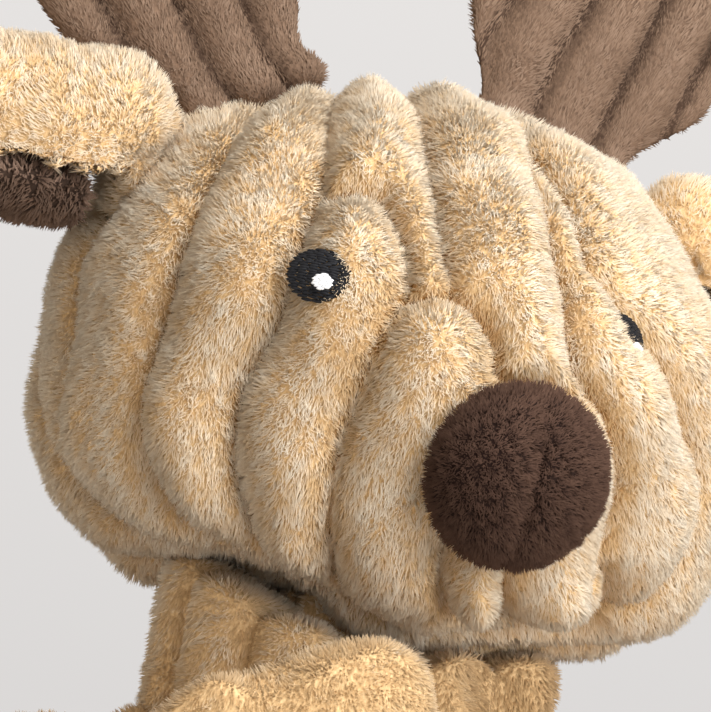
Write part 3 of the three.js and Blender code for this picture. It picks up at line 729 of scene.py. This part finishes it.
def stitch_patch(name, centre, out, half_wide, half_high, dome, thread, stitch_length, finish, seed):
    """Rows of short stitches that lie side by side over a low dome."""
    rng = np.random.default_rng(seed)
    sideways = Vector((0, 0, 1)).cross(out)
    turn = Matrix((sideways.normalized(), out.cross(sideways).normalized(), out)).transposed()
    whole = bmesh.new()
    rows = int(2 * half_high / (thread * 0.85))
    for row in range(rows):
        y = -half_high + (row + 0.5) * 2 * half_high / rows
        reach = half_wide * math.sqrt(max(0, 1 - (y / half_high) ** 2))
        stitches = max(1, round(2 * reach / stitch_length))
        shift = (row % 2) * 0.5
        for k in range(stitches):
            x = -reach + (k + 0.5) * 2 * reach / stitches + shift * stitch_length * 0.3
            if abs(x) > reach:
                continue
            lift = dome * math.sqrt(max(0.05, 1 - (x / half_wide) ** 2 - (y / half_high) ** 2))
            sizes = Matrix.Diagonal((stitch_length * 0.62, thread * 0.6, thread * 0.55, 1))
            lean = Matrix.Rotation(rng.normal(scale=0.12), 4, "Z")
            lean = lean @ Matrix.Rotation(dome * x / half_wide ** 2, 4, "Y")
            place = Matrix.Translation(Vector((x, y, lift)))
            made = bmesh.ops.create_uvsphere(whole, u_segments=8, v_segments=6, radius=1)
            bmesh.ops.transform(whole, matrix=place @ lean @ sizes, verts=made["verts"])
    bmesh.ops.transform(whole, matrix=Matrix.Translation(centre) @ turn.to_4x4(), verts=whole.verts)
    mesh = bpy.data.meshes.new(name)
    whole.to_mesh(mesh)
    whole.free()
    for face in mesh.polygons:
        face.use_smooth = True
    mesh.materials.append(finish)
    patch = bpy.data.objects.new(name, mesh)
    bpy.context.scene.collection.objects.link(patch)
    return patch


eye_half = (6.3 * mm, 5.5 * mm)
glint_half = (2.0 * mm, 1.7 * mm)
eye_sink = {"right": 1.2 * mm, "left": 5.6 * mm}
glint_lift = {"right": 0.1 * mm, "left": -5.4 * mm}
for word in ("right", "left"):
    low, high = (np.array(corner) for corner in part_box(f"eye_{word}"))
    out = (Vector((low + high) / 2) - head_centre)
    out = Vector([out[k] / head_half[k] ** 2 for k in range(3)]).normalized()
    centre = Vector((low + high) / 2) - eye_sink[word] * out
    eye = stitch_patch(
        f"eye_stitches_{word}", centre, out, *eye_half, 2.2 * mm, 0.62 * mm, 2.1 * mm, black_thread, 31
    )
    glint_low, glint_high = (np.array(corner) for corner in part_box(f"eye_glint_{word}"))
    glint_centre = Vector((glint_low + glint_high) / 2) + glint_lift[word] * out
    glint = stitch_patch(
        f"eye_glint_stitches_{word}", glint_centre, out, *glint_half, 0.5 * mm, 0.5 * mm, 1.4 * mm,
        white_thread, 32,
    )
    dress([eye], "head", (f"eye_{word}",))
    dress([glint], "head", (f"eye_glint_{word}",))


# Ears: thick leaves of the same plush, folded softly lengthwise, with a darker lining
# of short pile set in underneath. They are pinched at the root and sewn to the head.
def soft_copy(node, name, voxel, inset, rounds=6):
    """A padded form over a part of the frame, smoothed and drawn in to leave room for its pile."""
    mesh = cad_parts[node].data.copy()
    mesh.name = name
    mesh.materials.clear()
    piece = bpy.data.objects.new(name, mesh)
    bpy.context.scene.collection.objects.link(piece)
    edit_where(piece, lambda v: True)
    bpy.ops.mesh.remove_doubles(threshold=0.00002)
    finish_edit()
    piece.modifiers.new("one_skin", "REMESH").voxel_size = voxel
    relax = piece.modifiers.new("relax", "SMOOTH")
    relax.iterations = rounds
    relax.factor = 0.6
    apply_modifiers(piece)
    edit_where(piece, lambda v: True)
    bpy.ops.transform.shrink_fatten(value=-inset)
    finish_edit()
    bpy.ops.object.shade_smooth()
    return piece


brown_pile = pile_finish(
    "brown_pile", (0.05, 0.028, 0.017), (0.17, 0.105, 0.066), (0.31, 0.205, 0.138), 9 * mm
)
brown_cloth = cloth_finish("brown_cloth", (0.19, 0.118, 0.075), (0.05, 0.028, 0.017), 0.9 * mm)
dark_pile = pile_finish(
    "lining_pile", (0.03, 0.018, 0.012), (0.1, 0.058, 0.038), (0.25, 0.158, 0.108), 6 * mm
)
dark_cloth = cloth_finish("lining_cloth", (0.05, 0.03, 0.02), (0.03, 0.018, 0.012), 2 * mm)
ear_density = {"right": 4.8, "left": 2.6}
ear_tuft_width = {"right": 0.37 * mm, "left": 0.45 * mm}


def ear_thin(spot):
    """Fewer tufts towards the ear's end."""
    return np.clip(1 - (np.abs(spot[:, 0]) - 95 * mm) / (20 * mm), 0.4, 1)


for word, side in (("right", -1), ("left", 1)):
    ear = soft_copy(f"ear_{word}", f"ear_plush_{word}", 1.6 * mm, 2.0 * mm, 12)
    _, places, _ = ground_corners(ear)
    out = (places[:, 0] * side - 64 * mm) / (30 * mm)
    fuller = 0.75 * np.clip(1 - out, 0, 1) ** 1.5
    places[:, 1] += (places[:, 1] - 15 * mm) * fuller
    places[:, 2] += (places[:, 2] - 212 * mm) * fuller * 0.8
    places[:, 0] -= side * 5 * mm * fuller * (places[:, 2] > 214 * mm)
    place_points(ear, places)
    push_out(ear, Vector((side * 62, 15, 222)) * mm, Vector((-0.2 * side, 0, 1)), 16 * mm, 7 * mm)
    push_out(ear, Vector((side * 70, 8, 205)) * mm, Vector((0, 0, -1)), 14 * mm, 7 * mm)
    ear.data.materials.append(tan_cloth)

    def ear_comb(spot, normal, side=side):
        return np.tile([side * 0.9, 0, 0.1], (len(spot), 1))

    # Painted shade: the ears' pile is made a little darker with a tone of -0.1.
    ear_pile = grow_pile(
        ear, f"ear_pile_{word}", ear_density[word], 2.4 * mm, ear_tuft_width[word], 41 + side, tan_pile,
        ear_comb, clump=2.8, thin=ear_thin, painted_shade=-0.1,
    )
    dress([ear, *ear_pile], f"ear_{word}", (f"ear_{word}",))
    lining = soft_copy(f"ear_lining_{word}", f"ear_lining_plush_{word}", 1.4 * mm, 0.8 * mm, 4)
    push_out(lining, Vector((side * 72, 12, 203)) * mm, Vector((-0.5 * side, 0, -1)), 16 * mm, 5 * mm)
    lining.data.materials.append(dark_cloth)
    lining_pile = grow_pile(
        lining, f"ear_lining_pile_{word}", 2.6, 2.2 * mm, 0.75 * mm, 44 + side, dark_pile,
        ear_comb, clump=2.5,
    )
    dress([lining, *lining_pile], f"ear_{word}", (f"ear_lining_{word}",))


# Antlers: flat stuffed palms with rounded tines, of brown plush whose short pile is
# sewn down in lengthwise channels. Each is pinched at its root and sewn to the crown.
antler_tilt = math.radians(18)
channel_pitch = 15 * mm
channel_depth = 5.5 * mm
# Side, lean in degrees, how much wider the outer and inner edges are, and the root's bulge in mm
antler_forms = (("right", -1, 38, 0.16, 0.1, 1), ("left", 1, 22, 0, 0.26, 5))


def antler_thin(spot):
    """Fewer tufts on the tines."""
    return np.clip(1 - (spot[:, 2] - 262 * mm) / (15 * mm), 0.3, 1)


for word, side, lean, outer_growth, inner_growth, root_bulge in antler_forms:
    antler_lean = math.radians(lean)
    antler = soft_copy(f"antler_{word}", f"antler_plush_{word}", 1.5 * mm, 0.6 * mm, 16)
    rise = np.array([0, math.sin(antler_tilt), math.cos(antler_tilt)])
    outward = np.array([side, 0, 0])
    along = rise * math.cos(antler_lean) + outward * math.sin(antler_lean)
    across = outward * math.cos(antler_lean) - rise * math.sin(antler_lean)
    root = np.array([side * 37, 22, 232.9]) * mm

    def channel(places, across=across, root=root):
        turns = ((places - root) @ across) / channel_pitch
        return np.abs(turns - np.round(turns))

    _, places, normals = ground_corners(antler)
    inner = np.clip(-((places - root) @ across), 0, None)
    outer = np.clip((places - root) @ across, 0, None)
    places = places + across * (outer * outer_growth - inner * inner_growth)[:, None]
    sunk = 1 - np.sqrt(1 - (2 * channel(places)) ** 2.4)
    half_thick = np.abs((places - root) @ np.cross(rise, outward))
    places = places - normals * np.minimum(sunk * channel_depth, half_thick * 0.75)[:, None]
    place_points(antler, places)
    push_out(antler, root + 4 * mm * along - 14 * mm * across, -rise, 15 * mm, 5 * mm)
    push_out(antler, root + 14 * mm * along - 16 * mm * across, -across, 16 * mm, root_bulge * mm)
    # Painted shade in the antler's channels, through the crease attribute.
    mark_crease_shade(antler, 1 - (0.5 - channel(places)) * channel_pitch / (2.5 * mm))
    antler.data.materials.append(brown_cloth)

    def channel_gap(spot, channel=channel):
        return (0.5 - channel(spot)) * channel_pitch

    def antler_comb(spot, normal, along=along):
        return np.tile(along * 1.5, (len(spot), 1))

    antler_pile = grow_pile(
        antler, f"antler_pile_{word}", 3.2, 1.5 * mm, 0.38 * mm, 51 + side, brown_pile, antler_comb,
        clump=2.6, gap=channel_gap, thin=antler_thin,
    )
    dress([antler, *antler_pile], f"antler_{word}", (f"antler_{word}",))


# Body: a pear of the same ribbed plush, flat under the seat. Its ribs run up and down
# and gather at the neck, where a round of plush joins it to the head.
body_rib_count = 12
body_rib_turn = math.radians(-7.5)
body_groove = 4.2 * mm
body_half = Vector((46, 42)) * mm - Vector((1, 1)) * 3.6 * mm
body_height = 110 * mm
seat_lift = 0.4 * mm
seat_width_share = 0.78
# The body's sides from the seat up, as shares of its height and half width
body_profile = [
    (0.01, 0.9), (0.06, 0.98), (0.18, 1.04), (0.32, 1.06), (0.5, 1.03), (0.7, 0.99),
    (0.85, 0.97), (0.98, 0.98), (1.09, 0.97), (1.12, 0.87), (1.08, 0.6),
]


def body_rib_phase(place):
    heading = math.atan2(place.x / body_half.x, -place.y / body_half.y)
    turns = (heading - body_rib_turn) / (2 * math.pi) * body_rib_count
    return abs(turns - round(turns))


bpy.ops.object.select_all(action="DESELECT")
bpy.ops.mesh.primitive_circle_add(
    vertices=body_rib_count * 4, radius=body_half.x * seat_width_share, fill_type="NGON",
    location=(0, 0, seat_lift),
)
body = bpy.context.active_object
body.name = "body_plush"
settle(body)
edit_where(body, lambda v: True)
level, width = seat_lift, seat_width_share
for share, new_width in body_profile:
    new_level = share * body_height + seat_lift
    growth = new_width / width
    bpy.ops.mesh.extrude_region_move(TRANSFORM_OT_translate={"value": (0, 0, new_level - level)})
    bpy.ops.transform.resize(value=(growth, growth, 1), center_override=(0, 0, new_level))
    level, width = new_level, new_width
finish_edit()
body.scale = (1, body_half.y / body_half.x, 1)
settle(body)
edit_where(body, lambda v: body_rib_phase(v.co) > 0.45 and v.co.z > 4 * mm)
bpy.ops.transform.shrink_fatten(value=-body_groove)
edit_where(body, lambda e: all(body_rib_phase(v.co) > 0.4 and v.co.z > 4 * mm for v in e.verts), "EDGE")
bpy.ops.transform.edge_crease(value=0.8)
edit_where(body, lambda v: True)
bpy.ops.mesh.normals_make_consistent(inside=False)
finish_edit()
smooth_pad(body, 2)
body.data.materials.append(tan_cloth)
push_out(body, Vector((-34, 4, 112)) * mm, Vector((-0.1, 0, 1)), 24 * mm, 12 * mm)
push_out(body, Vector((40, -16, 118)) * mm, Vector((0.9, -0.3, 0.3)), 18 * mm, 6 * mm)
push_out(body, Vector((21, -36, 118)) * mm, Vector((-0.3, 0.9, 0)), 9 * mm, 7 * mm)


def body_comb(spot, normal):
    return np.tile([0, 0, -0.9], (len(spot), 1))


def body_gap(spot):
    """How far each place is from the nearest groove of the body."""
    heading = np.arctan2(spot[:, 0] / body_half.x, -spot[:, 1] / body_half.y)
    turns = (heading - body_rib_turn) / (2 * math.pi) * body_rib_count
    return (0.5 - np.abs(turns - np.round(turns))) * 2 * math.pi * body_half.x / body_rib_count


def body_thin(spot):
    """Fewer and broader tufts below the arms."""
    return np.clip((spot[:, 2] - 80 * mm) / (20 * mm), 0.2, 1)


def body_painted_shadow(spot):
    """Painted shade over the whole body, and a deeper painted shadow of the head on its upper part towards
    +x.
    """
    beside = np.clip(spot[:, 0] / (20 * mm), 0, 1)
    under = np.clip((spot[:, 2] - 90 * mm) / (15 * mm), 0, 1)
    return -0.12 - 0.42 * beside * under


def above_seat(spot, normal):
    """No pile under the seat, and shorter pile just above the floor."""
    return np.where(normal[:, 2] < -0.6, 0.0, np.clip(spot[:, 2] / (5 * mm), 0.25, 1))


body_pile = grow_pile(
    body, "body_pile", 2.9, 0.85 * pile_length, 0.45 * mm, 61, tan_pile, body_comb, above_seat,
    gap=body_gap, thin=body_thin, painted_shade=body_painted_shadow,
)
dress([body], "body", ("body_cover", "body_stuffing"))
dress(body_pile, "body", ("body_cover",))

for piece in (body, *body_pile):
    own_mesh(piece)

bpy.ops.object.select_all(action="DESELECT")
bpy.ops.mesh.primitive_uv_sphere_add(segments=48, ring_count=24, radius=21 * mm, location=(0, 0, 114 * mm))
neck = bpy.context.active_object
neck.name = "neck_plush"
settle(neck)
edit_where(neck, lambda v: body_rib_phase(v.co) > 0.45)
bpy.ops.transform.shrink_fatten(value=-3 * mm)
finish_edit()
smooth_pad(neck, 1)
neck.data.materials.append(tan_cloth)
neck_pile = grow_pile(neck, "neck_pile", 0.6, pile_length, 1.2 * mm, 63, tan_pile, body_comb)
dress([neck, *neck_pile], "neck", ("neck_stuffing",))


# Arms, legs and tail: stuffed tubes of the same plush. Each limb is tied in one overhand
# knot and swells again into a rounded paw or foot.
# Where the right arm swells: place, direction, how wide and how far, in mm
arm_right_swells = (
    ((-20, -64, 120), (0.15, 0, 1), 12, 5),
    ((-43, -67, 112), (0, 0, -1), 9, 4),
    ((-53, -62, 106), (0, 0, 1), 9, 6),
)
limb_densities = {"arm_right": 3.8, "arm_left": 2.2, "leg_right": 2.2, "leg_left": 2.2, "tail": 3.0}


def limb_thin(spot):
    """Fewer and broader tufts towards the floor."""
    return np.clip((spot[:, 2] - 60 * mm) / (40 * mm), 0.6, 1)


for node, density in limb_densities.items():
    limb = soft_copy(node, f"{node}_plush", 1.7 * mm, 1.6 * mm)
    for place, heading, spread, rise in arm_right_swells if node == "arm_right" else ():
        push_out(limb, Vector(place) * mm, Vector(heading), spread * mm, rise * mm)
    limb.data.materials.append(tan_cloth)
    # Painted shade: the limbs' pile is made darker all over with a tone of -0.42.
    limb_pile = grow_pile(
        limb, f"{node}_pile", density, 0.7 * pile_length, 0.42 * mm, 70 + len(node), tan_pile,
        body_comb, above_seat, thin=limb_thin, painted_shade=-0.42,
    )
    dress([limb, *limb_pile], node, (node,))


# Squeakers: moulded bellows of soft plastic with their reeds, shut inside the stuffing.
squeaker_plastic = cloth_finish("squeaker_plastic", (0.8, 0.78, 0.7), (0.7, 0.68, 0.6), 3 * mm)
for word in ("head", "body"):
    for part in ("bulb", "reed"):
        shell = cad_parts[f"{word}_squeaker_{part}"]
        shell.data.materials.clear()
        shell.data.materials.append(squeaker_plastic)
